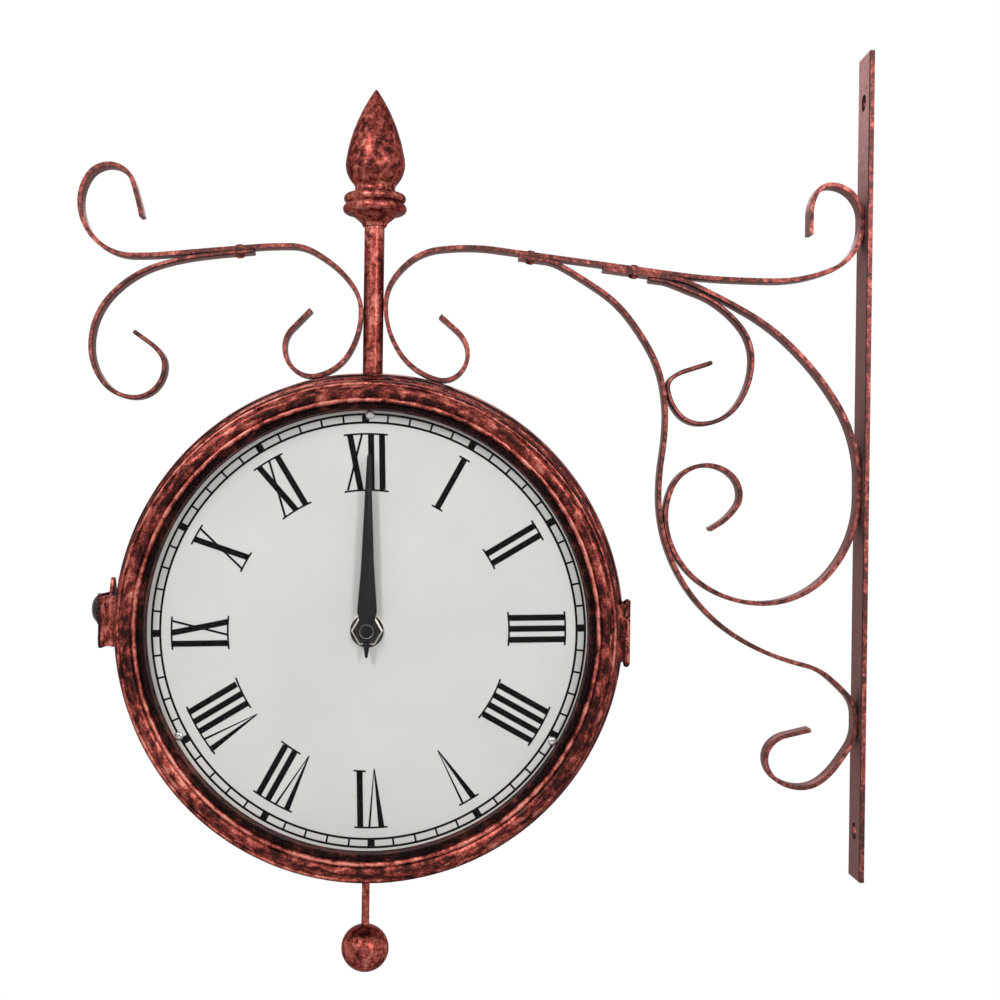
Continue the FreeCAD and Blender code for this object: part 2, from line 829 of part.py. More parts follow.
def flat_rivet(x, y, z, outwards, grip):
    """Rivet along X: a low domed head on the face at x, and a shank reaching inwards."""
    base = vector(x, y, z)
    out = along_x * outwards
    head = Part.makeCone(leaf_rivet_head_r, leaf_rivet_head_r * 0.55, leaf_rivet_head, base, out)
    return head.fuse(rod(leaf_rivet_r, base - out * grip, base))


def leaf_rivets(side, grip):
    return [flat_rivet(leaf_x + leaf_thickness, y, z, 1, grip) for y, z in leaf_rivet_places(side)]


def latch_plate():
    """Lozenge plate with the threaded boss that goes through the drum's wall."""
    x0 = -drum_r - weld_gap
    x1 = x0 - latch_plate_thickness
    y, z = latch_y, latch_z
    top_z, low_z = z + latch_plate_up, z - latch_plate_down
    body = rod(latch_plate_r, vector(x1, y, z), vector(x0, y, z))
    for end_z in (top_z, low_z):
        tip = rod(latch_plate_end_r, vector(x1, y, end_z), vector(x0, y, end_z))
        reach = abs(end_z - z)
        away = 1 if end_z > z else -1
        sine = (latch_plate_r - latch_plate_end_r) / reach
        cosine = math.sqrt(1 - sine ** 2)
        corners = [
            vector(x1, y - latch_plate_r * cosine, z + away * latch_plate_r * sine),
            vector(x1, y - latch_plate_end_r * cosine, end_z + away * latch_plate_end_r * sine),
            vector(x1, y + latch_plate_end_r * cosine, end_z + away * latch_plate_end_r * sine),
            vector(x1, y + latch_plate_r * cosine, z + away * latch_plate_r * sine),
        ]
        web = Part.Face(Part.makePolygon(corners + corners[:1])).extrude(along_x * (x0 - x1))
        body = body.fuse([tip, web])
    boss = rod(latch_boss_r, vector(x0, y, z), vector(x0 + latch_boss_length, y, z))
    bore = rod(thumb_r + thumb_fit, vector(x1 - 1, y, z), vector(x0 + latch_boss_length + 1, y, z))
    return body.fuse(boss).cut(bore).removeSplitter()


def latch_strap():
    """Strap on the door with a slot open to the rear, which slides under the thumb screw's washer."""
    x1, x0 = -strap_x, -strap_x - strap_thickness
    y0, y1 = hinge_y - strap_front, latch_y + strap_tail
    strap = box(x0, x1, y0, y1, latch_z - strap_down, latch_z + strap_up)
    corners = [e for e in strap.Edges if abs(e.CenterOfMass.x - (x0 + x1) / 2) < 1e-6]
    strap = strap.makeFillet(strap_corner, corners)
    slot_r = thumb_r + slot_play
    slot = box(x0 - 1, x1 + 1, latch_y, y1 + 1, latch_z - slot_r, latch_z + slot_r)
    slot_end = rod(slot_r, vector(x0 - 1, latch_y, latch_z), vector(x1 + 1, latch_y, latch_z))
    return strap.cut([slot, slot_end] + strap_rivet_holes()).removeSplitter()


def latch_washer():
    ring = rod(washer_r, vector(-washer_x, latch_y, latch_z), vector(-washer_x - washer_thickness, latch_y, latch_z))
    return ring.cut(rod(thumb_r + thumb_fit, vector(-washer_x + 1, latch_y, latch_z),
                        vector(-washer_x - 3, latch_y, latch_z)))


def thumb_screw():
    """Round headed thumb screw with a notched rim and a domed top."""
    rim = thumb_head_x + thumb_head_rim
    top = rim + thumb_head_dome
    tip = drum_r + weld_gap - latch_boss_length - 0.5
    body = turned_about_x((0, tip), [
        (thumb_r, tip),
        (thumb_r, thumb_head_x),
        (thumb_head_r - 0.5, thumb_head_x),
        (thumb_head_r, thumb_head_x + 0.5),
        (thumb_head_r, rim - 0.3),
        (thumb_head_r - 0.9, rim),
        (thumb_head_r * 0.62, rim + 0.75 * thumb_head_dome, flat_top_r, top),
        (0, top),
    ], latch_z)
    notches = []
    for k in range(thumb_notches):
        turn = 2 * math.pi * k / thumb_notches
        y = latch_y + (thumb_head_r + 0.2) * math.cos(turn)
        z = latch_z + (thumb_head_r + 0.2) * math.sin(turn)
        notches.append(rod(thumb_notch_r, vector(-thumb_head_x + 1, y, z), vector(-rim - 1, y, z)))
    return body.cut(notches)


# ---- rod, finial, ball ------------------------------------------------------------------------------
def hanger_rod():
    base = drum_r + weld_gap
    top = base + rod_length
    body = rod(rod_r, vector(0, 0, base), vector(0, 0, top))
    lower = rod(rod_thread_r, vector(0, 0, base - rod_thread_in_drum), vector(0, 0, base))
    upper = rod(rod_thread_r, vector(0, 0, top), vector(0, 0, top + rod_thread_in_finial))
    return body.fuse([lower, upper])


def rod_nut():
    top = drum_r - sheet - nut_seat
    nut = hexagon(nut_across_flats, vector(0, 0, top - nut_thickness), vector(0, 0, top))
    return nut.cut(rod(rod_thread_r + screw_fit, vector(0, 0, top - 20), vector(0, 0, top + 5)))


def finial():
    """Spear point over a waisted neck and a double-beaded collar."""
    collar_low, collar_mid, collar_top = 6.6, 11.2, 15.6
    spear_low, spear_wide = 19.0, 31.3
    body = turned_about_z((0, 0), [
        (finial_base_r, 0),
        (finial_base_r + 0.6, 1.6),
        (finial_collar_r - 3.6, collar_low - 0.6),
        (finial_collar_r, collar_low + 1.6, finial_collar_r - 0.9, collar_mid - 0.8),
        (finial_collar_r - 1.6, collar_mid),
        (finial_collar_r - 0.4, collar_mid + 2.2, finial_collar_r - 3.0, collar_top),
        (finial_neck_r + 0.4, collar_top + 0.6),
        (finial_neck_r - 0.2, spear_low - 0.8, finial_neck_r + 0.6, spear_low + 1.2),
        (finial_spear_r - 0.6, spear_wide - 6.0, finial_spear_r, spear_wide),
        (finial_spear_r - 4.6, spear_wide + 17.0, finial_tip_r, finial_height - 0.5),
        (finial_tip_r / 2, finial_height),
        (0, finial_height),
    ], drum_r + weld_gap + rod_length)
    base = drum_r + weld_gap + rod_length
    hole = rod(rod_thread_r + screw_fit, vector(0, 0, base - 1), vector(0, 0, base + rod_thread_in_finial + 1))
    return body.cut(hole)


def drop_rod():
    top = -drum_r + drop_rod_in_drum
    return rod(drop_rod_r, vector(0, 0, top), vector(0, 0, -drum_r - ball_drop + ball_r - ball_hole))


def drop_rod_nut():
    low = -drum_r + sheet + nut_seat
    nut = hexagon(drop_nut_across_flats, vector(0, 0, low), vector(0, 0, low + drop_nut_thickness))
    return nut.cut(rod(drop_rod_r + screw_fit, vector(0, 0, low - 5), vector(0, 0, low + 10)))


def drop_ball():
    centre = vector(0, 0, -drum_r - ball_drop)
    hole_end = vector(0, 0, centre.z + ball_r - ball_hole)
    hole = rod(drop_rod_r + screw_fit, hole_end, vector(0, 0, centre.z + ball_r + 1))
    return Part.makeSphere(ball_r, centre).cut(hole)


# ---- movement, in the clock's own frame behind the front dial ------------------------------------------
case_half = movement_width / 2
front_wall_y = dial_back_y + movement_wall
cover_y = rear_face_y - movement_wall
bay_top = -case_half + movement_wall + bay_height
hour_gear_y = front_wall_y + gear_step
hour_gear_back_y = hour_gear_y + gear_face
motion_gear_y = hour_gear_back_y + 2 * gear_step + 0.5
motion_gear_back_y = motion_gear_y + gear_face
centre_gear_y = motion_gear_back_y + 4 * gear_step
centre_gear_back_y = centre_gear_y + gear_face


def movement_case():
    """Moulded tray with the battery bay along its bottom and the threaded bush in front."""
    inner = case_half - movement_wall
    body = box(-case_half, case_half, dial_back_y, rear_face_y, -case_half, case_half)
    upright = [e for e in body.Edges
               if abs(abs(e.CenterOfMass.x) - case_half) < 1e-6 and abs(abs(e.CenterOfMass.z) - case_half) < 1e-6]
    body = body.makeFillet(2.5, upright)
    works = box(-inner, inner, front_wall_y, rear_face_y + 1, bay_top + movement_wall, inner)
    bay = box(-inner, inner, front_wall_y, rear_face_y + 1, -inner, bay_top)
    seat = box(-case_half - 1, case_half + 1, cover_y, rear_face_y + 1, bay_top, case_half + 1)
    bush = rod_y(bush_r, bush_end_y, dial_back_y)
    bore = rod_y(hour_tube_r + screw_fit, bush_end_y - 1, front_wall_y + 1)
    pivot_hole = rod_y(pivot_r + screw_fit, front_wall_y - pivot_length, front_wall_y + 1, train_distance)
    return body.cut([works, bay, seat]).fuse(bush).cut([bore, pivot_hole]).removeSplitter()


def movement_cover():
    plate = box(-case_half, case_half, cover_y, rear_face_y, bay_top, case_half)
    centre_hole = rod_y(pivot_r + screw_fit, cover_y - 1, cover_y + pivot_length)
    set_hole = rod_y(set_arbor_r + screw_fit, cover_y - 1, rear_face_y + 1, train_distance)
    return plate.cut([centre_hole, set_hole])


def battery_places():
    """Centre line of the cell, and the faces of its two contacts."""
    y = front_wall_y + battery_bed + battery_r
    z = -case_half + movement_wall + bay_height / 2
    face = case_half - movement_wall - contact_thickness
    return y, z, face


def battery():
    y, z, face = battery_places()
    nub_start = face - battery_nub
    cell = rod(battery_r, vector(nub_start - battery_length, y, z), vector(nub_start, y, z))
    rims = [e for e in cell.Edges if e.Curve.TypeId == "Part::GeomCircle"]
    cell = cell.makeFillet(0.6, rims)
    return cell.fuse(rod(battery_nub_r, vector(nub_start, y, z), vector(face, y, z)))


def battery_contacts():
    y, z, face = battery_places()
    half = contact_size / 2
    far = case_half - movement_wall
    positive = box(face, far, y - half, y + half, z - half, z + half)
    negative = box(-far, -face, y - half, y + half, z - half, z + half)
    cell_end = face - battery_nub - battery_length
    spring = Part.makeCone(4.2, 2.6, cell_end + face, vector(-face, y, z), along_x)
    return Part.makeCompound([positive, negative.fuse(spring)])


def circuit_board():
    """Board with its sealed chip and quartz can, against the case's front wall."""
    x0, x1 = -case_half + movement_wall + 0.5, -14.0
    z0, z1 = bay_top + movement_wall + 1.0, case_half - movement_wall - 1.0
    y0, y1 = front_wall_y, front_wall_y + 1.0
    board = box(x0, x1, y0, y1, z0, z1)
    chip_z = (z0 + z1) / 2
    chip = Part.makeCone(3.2, 2.4, 1.0, vector((x0 + x1) / 2, y1, chip_z), along_y)
    can = rod(1.0, vector(x0 + 2, y1 + 1.0, chip_z + 10), vector(x1 - 2, y1 + 1.0, chip_z + 10))
    return board.fuse([chip, can])


def motor_coil():
    """Bobbin with its winding between two flanges, lying in its iron stator strip."""
    y, z = front_wall_y + 4.2, case_half - movement_wall - 5.2
    x0, x1 = -9.0, 13.0
    winding = rod(3.4, vector(x0 + 1, y, z), vector(x1 - 1, y, z))
    ends = [box(x, x + 1.0, y - 3.9, y + 3.9, z - 4.2, z + 4.2) for x in (x0, x1 - 1.0)]
    core = box(x0 - 3.0, x1 + 3.0, y - 0.7, y + 0.7, z - 1.5, z + 1.5)
    feet = [box(x, x + 3.0, front_wall_y, y + 0.7, z - 1.5, z + 1.5) for x in (x0 - 3.0, x1)]
    return winding.fuse(ends + [core] + feet)


def gear(teeth, pitch_r, y0, y1, x=0.0, phase=0.0):
    """Spur wheel: each tooth is a trapezium, thin enough at the pitch circle to run free in its mate."""
    module = 2 * pitch_r / teeth
    root_r, tip_r = pitch_r - 1.15 * module, pitch_r + 0.8 * module
    step = 2 * math.pi / teeth
    corners = []
    for k in range(teeth):
        middle = math.radians(phase) + k * step
        for radius, share in ((root_r, -0.27), (tip_r, -0.10), (tip_r, 0.10), (root_r, 0.27)):
            turn = middle + share * step
            corners.append(vector(x + radius * math.cos(turn), y0, radius * math.sin(turn)))
    return Part.Face(Part.makePolygon(corners + corners[:1])).extrude(along_y * (y1 - y0))


def cannon_pitch_r():
    return train_distance * cannon_teeth / (cannon_teeth + motion_teeth)


def motion_pinion_pitch_r():
    return train_distance * motion_pinion_teeth / (motion_pinion_teeth + hour_teeth)


def minute_wheel():
    """Centre wheel, cannon pinion and the arbor that carries the minute hand."""
    wheel = gear(centre_teeth, centre_wheel_r, centre_gear_y, centre_gear_back_y)
    pinion = gear(cannon_teeth, cannon_pitch_r(), motion_gear_y - gear_step, centre_gear_y)
    arbor = rod_y(arbor_r, minute_hand_front_y, cover_y - gear_step)
    pivot = rod_y(pivot_r, cover_y - gear_step, cover_y + pivot_length - 0.1)
    return wheel.fuse([pinion, arbor, pivot])


def motion_wheel():
    """Motion wheel and pinion on the setting arbor, which comes out through the cover."""
    x = train_distance
    wheel = gear(motion_teeth, train_distance - cannon_pitch_r(), motion_gear_y, motion_gear_back_y, x,
                 180.0 / motion_teeth)
    pinion = gear(motion_pinion_teeth, motion_pinion_pitch_r(), hour_gear_y, motion_gear_y, x,
                  180.0 / motion_pinion_teeth)
    arbor = rod_y(set_arbor_r, motion_gear_back_y, rear_face_y + 0.3 + set_knob_length, x)
    pivot = rod_y(pivot_r, front_wall_y - pivot_length + 0.1, hour_gear_y, x)
    return wheel.fuse([pinion, arbor, pivot])


def hour_wheel():
    wheel = gear(hour_teeth, train_distance - motion_pinion_pitch_r(), hour_gear_y, hour_gear_back_y)
    tube = rod_y(hour_tube_r, hour_hand_front_y, hour_gear_back_y)
    return wheel.fuse(tube).cut(rod_y(arbor_r + screw_fit, hour_hand_front_y - 1, hour_gear_back_y + 1))


def set_knob():
    start = rear_face_y + 0.3
    knob = rod_y(set_knob_r, start, start + set_knob_length, train_distance)
    cuts = [rod_y(set_arbor_r, start - 1, start + set_knob_length + 1, train_distance)]
    for k in range(set_knob_flutes):
        turn = 2 * math.pi * k / set_knob_flutes
        cuts.append(rod_y(set_knob_flute_r, start + 0.8, start + set_knob_length + 1,
                          train_distance + set_knob_r * math.cos(turn), set_knob_r * math.sin(turn)))
    return knob.cut(cuts)


def fixing_nut():
    flange = rod_y(nut_flange_r, dial_y - nut_flange, dial_y)
    nut = hexagon(fixing_nut_across_flats, vector(0, dial_y - nut_flange - fixing_nut_thickness, 0),
                  vector(0, dial_y - nut_flange, 0))
    return flange.fuse(nut).cut(rod_y(bush_r + screw_fit, dial_y - 5, dial_y + 1))


def hand(length, width, tail, hub_r, hole_r, back_y):
    """Kite-shaped hand with a raised ridge down its middle, on a round hub."""
    tip_half = 0.9
    foot_y, edge_y, ridge_y = back_y, back_y - hand_plate, back_y - hand_plate - hand_ridge
    rim = [(tip_half, length), (width / 2, hand_shoulder), (0.6, -tail),
           (-0.6, -tail), (-width / 2, hand_shoulder), (-tip_half, length)]
    ridge = [(0.0, length - 1.0), (0.0, hand_shoulder), (0.0, -tail + 1.0)]
    plate = Part.Face(Part.makePolygon([vector(x, foot_y, z) for x, z in rim + rim[:1]]))
    plate = plate.extrude(along_y * (edge_y - foot_y))
    low = [vector(x, edge_y, z) for x, z in rim]
    high = [vector(ridge[0][0], edge_y - hand_ridge * 0.5, ridge[0][1]),
            vector(ridge[1][0], ridge_y, ridge[1][1]),
            vector(ridge[2][0], edge_y - hand_ridge * 0.5, ridge[2][1])]
    panels = [
        [low[0], low[1], high[1]], [low[0], high[1], high[0]],
        [low[1], low[2], high[2]], [low[1], high[2], high[1]],
        [low[2], low[3], high[2]],
        [low[3], low[4], high[1]], [low[3], high[1], high[2]],
        [low[4], low[5], high[0]], [low[4], high[0], high[1]],
        [low[5], low[0], high[0]],
        low,
    ]
    faces = [Part.Face(Part.makePolygon(corners + corners[:1])) for corners in panels]
    roof = Part.makeSolid(Part.makeShell(faces))
    if roof.Volume < 0:
        roof.reverse()
    hub = rod_y(hub_r, ridge_y, back_y)
    return plate.fuse([roof, hub]).cut(rod_y(hole_r, ridge_y - 1, back_y + 1)).removeSplitter()


def hour_hand():
    return hand(hour_hand_length, hour_hand_width, hour_tail, hour_hub_r, hour_tube_r, hour_hand_y)


def minute_hand():
    return hand(minute_hand_length, minute_hand_width, minute_tail, minute_hub_r, arbor_r, minute_hand_y)


def hand_cap():
    """Domed cap on the end of the arbor, with a raised rim."""
    base = minute_hand_front_y
    return turned_about_y((0, base), [
        (cap_r, base),
        (cap_r, base - 0.7 * cap_height),
        (cap_r - 0.35, base - cap_height, cap_r - 0.8, base - 0.8 * cap_height),
        (cap_r * 0.5, base - 0.95 * cap_height, flat_top_r, base - cap_height),
        (0, base - cap_height),
    ])


# ---- the whole clock ----------------------------------------------------------------------------------
def side_pieces():
    """Pieces that both sides have alike, in the clock's own frame."""
    return {
        "lens": lens(),
        "dial": dial(),
        "dial_screws": dial_screws(),
        "movement_case": movement_case(),
        "movement_cover": movement_cover(),
        "battery": battery(),
        "battery_contacts": battery_contacts(),
        "circuit_board": circuit_board(),
        "motor_coil": motor_coil(),
        "minute_wheel": minute_wheel(),
        "motion_wheel": motion_wheel(),
        "hour_wheel": hour_wheel(),
        "set_knob": set_knob(),
        "fixing_nut": fixing_nut(),
        "hour_hand": hour_hand(),
        "minute_hand": minute_hand(),
        "hand_cap": hand_cap(),
    }


def build():
    parts = {"wall_plate": wall_plate()}
    add_strips(parts)

    bottom, middle, top = knuckle_spans()
    strap_face = -strap_x - strap_thickness
    strap_rivets = [flat_rivet(strap_face, y, z, -1, strap_rivet_grip) for y, z in strap_rivet_places()]
    middle_pieces = {
        "drum_shell": drum_shell(),
        "front_bezel": door_bezel(),
        "hanger_rod": hanger_rod(),
        "rod_nut": rod_nut(),
        "finial": finial(),
        "drop_rod": drop_rod(),
        "drop_rod_nut": drop_rod_nut(),
        "drop_ball": drop_ball(),
        "case_hinge_leaf": hinge_leaf(1, [bottom, top], pin_r),
        "door_hinge_leaf": hinge_leaf(-1, [middle], pin_r + screw_fit),
        "hinge_pin": hinge_pin(),
        "case_hinge_rivets": Part.makeCompound(leaf_rivets(1, case_rivet_grip)),
        "door_rivets": Part.makeCompound(leaf_rivets(-1, door_rivet_grip) + strap_rivets),
        "latch_plate": latch_plate(),
        "latch_strap": latch_strap(),
        "latch_washer": latch_washer(),
        "thumb_screw": thumb_screw(),
    }
    for name, shape in middle_pieces.items():
        parts[name] = to_front(shape)
    parts["rear_bezel"] = to_rear(bezel(-half_drum))
    for name, shape in side_pieces().items():
        parts["front_" + name] = to_front(shape)
        parts["rear_" + name] = to_rear(shape)
    return parts


os.makedirs("parts", exist_ok=True)
for name, shape in sorted(build().items()):
    shape.exportStep("parts/" + name + ".step")
    print("%-22s solids %d  volume %9.1f  valid %s" % (name, len(shape.Solids), shape.Volume, shape.isValid()))
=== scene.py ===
import json
import math

import bpy
import numpy as np
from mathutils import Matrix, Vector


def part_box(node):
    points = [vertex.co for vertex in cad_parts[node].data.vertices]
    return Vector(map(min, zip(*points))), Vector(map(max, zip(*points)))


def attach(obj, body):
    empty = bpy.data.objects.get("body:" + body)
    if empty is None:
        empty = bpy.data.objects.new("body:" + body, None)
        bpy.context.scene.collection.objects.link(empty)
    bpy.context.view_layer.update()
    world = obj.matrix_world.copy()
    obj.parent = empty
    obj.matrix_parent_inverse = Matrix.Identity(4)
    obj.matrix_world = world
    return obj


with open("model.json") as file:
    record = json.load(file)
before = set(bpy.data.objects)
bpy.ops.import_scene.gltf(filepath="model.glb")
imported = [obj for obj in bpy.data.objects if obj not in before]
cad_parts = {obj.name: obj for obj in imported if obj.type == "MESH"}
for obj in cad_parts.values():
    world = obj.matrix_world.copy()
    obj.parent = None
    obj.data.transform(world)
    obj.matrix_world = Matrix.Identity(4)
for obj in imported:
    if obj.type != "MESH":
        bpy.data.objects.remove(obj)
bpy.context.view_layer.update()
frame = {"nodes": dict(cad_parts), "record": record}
nodes = frame["nodes"]
print("frame loaded,", len(nodes), "nodes")

mm = 0.001
rootBody = "bracket_and_case"
doorBody = "front_door"


def centreOf(name):
    low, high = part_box(name)
    return (low + high) / 2


clockX, clockZ = centreOf("front_lens").x, centreOf("front_lens").z
halfTurn = np.array([-1.0, -1.0, 1.0])             # front piece to rear piece, about the rod


# flat-faced piece that rides on a body
def addMesh(name, points, faces, material, body):
    mesh = bpy.data.meshes.new(name)
    mesh.from_pydata(points.tolist(), [], faces.tolist())
    mesh.materials.append(material)
    mesh.update()
    piece = bpy.data.objects.new(name, mesh)
    bpy.context.scene.collection.objects.link(piece)
    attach(piece, body)
    return piece


# quads between neighbouring rows and columns of a grid, wrapping where it closes on itself
def gridFaces(rows, columns, wrapRows=False, wrapColumns=False):
    r = np.arange(rows if wrapRows else rows - 1)
    c = np.arange(columns if wrapColumns else columns - 1)
    r, c = np.meshgrid(r, c, indexing="ij")
    nextR, nextC = (r + 1) % rows, (c + 1) % columns
    corners = [r * columns + c, r * columns + nextC, nextR * columns + nextC, nextR * columns + c]
    return np.stack(corners, axis=-1).reshape(-1, 4)


# each material has its own nodes, on object coordinates in metres
def newMaterial(name):
    material = bpy.data.materials.new(name)
    material.use_nodes = True
    tree = material.node_tree
    shader = tree.nodes["Principled BSDF"]
    coords = tree.nodes.new("ShaderNodeTexCoord").outputs["Object"]
    return material, tree, shader, coords


def noiseOn(tree, coords, scale, detail=4.0, roughness=0.55, distortion=0.0):
    noise = tree.nodes.new("ShaderNodeTexNoise")
    noise.inputs["Scale"].default_value = scale
    noise.inputs["Detail"].default_value = detail
    noise.inputs["Roughness"].default_value = roughness
    noise.inputs["Distortion"].default_value = distortion
    tree.links.new(coords, noise.inputs["Vector"])
    return noise.outputs["Fac"]


def mathOn(tree, operation, a, b=0.0):
    node = tree.nodes.new("ShaderNodeMath")
    node.operation = operation
    for socket, value in zip(node.inputs, (a, b)):
        if isinstance(value, (int, float)):
            socket.default_value = value
        else:
            tree.links.new(value, socket)
    return node.outputs[0]


# a value spread about its middle, 0.5, and weighed
def swingOn(tree, value, weight):
    return mathOn(tree, "MULTIPLY", mathOn(tree, "SUBTRACT", value, 0.5), weight)


def rampOn(tree, factor, stops):
    ramp = tree.nodes.new("ShaderNodeValToRGB")
    elements = ramp.color_ramp.elements
    while len(elements) < len(stops):
        elements.new(0.5)
    for element, (position, color) in zip(elements, stops):
        element.position = position
        element.color = (*color, 1.0)
    tree.links.new(factor, ramp.inputs["Fac"])
    return ramp.outputs["Color"]


def rangeOn(tree, factor, low, high, fromLow=0.0, fromHigh=1.0):
    span = tree.nodes.new("ShaderNodeMapRange")
    span.inputs["From Min"].default_value = fromLow
    span.inputs["From Max"].default_value = fromHigh
    span.inputs["To Min"].default_value = low
    span.inputs["To Max"].default_value = high
    tree.links.new(factor, span.inputs["Value"])
    return span.outputs["Result"]


def bumpOn(tree, height, strength, distance, under=None):
    bump = tree.nodes.new("ShaderNodeBump")
    bump.inputs["Strength"].default_value = strength
    bump.inputs["Distance"].default_value = distance
    tree.links.new(height, bump.inputs["Height"])
    if under is not None:
        tree.links.new(under, bump.inputs["Normal"])
    return bump.outputs["Normal"]


def cellsOn(tree, coords, scale, smoothness):
    cells = tree.nodes.new("ShaderNodeTexVoronoi")
    cells.feature = "SMOOTH_F1"
    cells.inputs["Scale"].default_value = scale
    cells.inputs["Smoothness"].default_value = smoothness
    tree.links.new(coords, cells.inputs["Vector"])
    return cells.outputs["Distance"]


leastRadius = 1 * mm                               # keeps the division sound on the axis


# radius from the line through the dials' centres, depth from the middle, and coordinates drawn out
# round that line: the direction from it, times a short radius, beside radius plus depth
def roundTheAxis(tree, coords, around):
    place = tree.nodes.new("ShaderNodeSeparateXYZ")
    tree.links.new(coords, place.inputs[0])
    x = mathOn(tree, "SUBTRACT", place.outputs["X"], clockX)
    z = mathOn(tree, "SUBTRACT", place.outputs["Z"], clockZ)
    squares = mathOn(tree, "ADD", mathOn(tree, "MULTIPLY", x, x), mathOn(tree, "MULTIPLY", z, z))
    radius = mathOn(tree, "MAXIMUM", mathOn(tree, "SQRT", squares), leastRadius)
    spun = tree.nodes.new("ShaderNodeCombineXYZ")
    for axis, value in (("X", x), ("Z", z)):
        drawn = mathOn(tree, "MULTIPLY", mathOn(tree, "DIVIDE", value, radius), around)
        tree.links.new(drawn, spun.inputs[axis])
    tree.links.new(mathOn(tree, "ADD", radius, place.outputs["Y"]), spun.inputs["Y"])
    return radius, mathOn(tree, "ABSOLUTE", place.outputs["Y"]), spun.outputs[0]


# change of brightness along a value, from (value in the unit, change) stops; it carries the rings'
# painted ridge highlights and darker grooves, and the bars' painted highlight and shade
def liftAlongOn(tree, value, stops, unit=mm):
    low, high = stops[0][0], stops[-1][0]
    place = rangeOn(tree, value, 0.0, 1.0, low * unit, high * unit)
    greys = [((at - low) / (high - low), (0.5 + change,) * 3) for at, change in stops]
    return swingOn(tree, rampOn(tree, place, greys), 1.0)


copper = {
    "colors": [
        (0.37, (0.026, 0.010, 0.009)),             # black patina
        (0.45, (0.050, 0.014, 0.012)),
        (0.51, (0.155, 0.028, 0.023)),             # red
        (0.58, (0.300, 0.065, 0.050)),
        (0.69, (0.520, 0.190, 0.150)),             # rubbed copper
    ],
    "patch": {"scale": 58.0, "detail": 3.0, "roughness": 0.5, "distortion": 0.4},
    "mottle": {"scale": 350.0, "detail": 4.0, "roughness": 0.6, "distortion": 0.3},
    "speck": {"scale": 1100.0, "detail": 3.0, "roughness": 0.6},
    "patchWeight": 0.42,
    "mottleWeight": 0.85,
    "speckWeight": 0.35,
    "metal": 0.72,
    "edgeTint": (0.20, 0.08, 0.07, 1.0),
    "specular": 0.20,
    "roughness": (0.23, 0.42),
    "roughnessOver": (0.3, 0.7),                   # mottle at the ends of that range
    "dents": {"scale": 170.0, "smoothness": 0.6},
    "dentDepth": 0.5 * mm,
    "mottleBump": 0.3,
    "mottleDepth": 0.2 * mm,
    "around": 52 * mm,                             # patches on spun rings are drawn out round them
}

# rings are painted lighter on their ridges, a painted highlight, and darker in their grooves and
# joints
ringHighlightsAndGrooves = {
    "radius": [(100.0, -0.06), (103.4, -0.06), (104.3, 0.04), (104.9, 0.15), (105.6, 0.05),
               (106.6, -0.03), (110.6, -0.02), (111.8, 0.03), (112.5, 0.08), (113.2, 0.02),
               (117.6, 0.0), (119.0, 0.04), (121.0, 0.04)],
    "depth": [(0.0, 0.0), (13.2, 0.0), (14.0, -0.14), (14.8, -0.02), (15.6, 0.06), (17.9, -0.12),
              (20.2, 0.05), (24.0, 0.0), (34.6, 0.05), (36.0, -0.02), (36.8, -0.16), (37.7, 0.0),
              (40.0, 0.0)],
}

# flat bar, by how far the surface faces along the depth: a brown painted sheen on its flats,
# painted shade at its corners and a painted highlight along the middle of its narrow edges
barSheenAndShade = {
    # the flats' colour is a painted sheen
    "flat": (0.255, 0.150, 0.138, 1.0),
    "flatUpTo": 0.35,
    "redOnEdge": 0.85,
    # painted shade towards the corners, painted highlight along the middle of the narrow edges
    "edge": [(0.0, -0.06), (0.55, -0.20), (0.85, -0.14), (0.97, -0.02), (1.0, 0.0)],
}


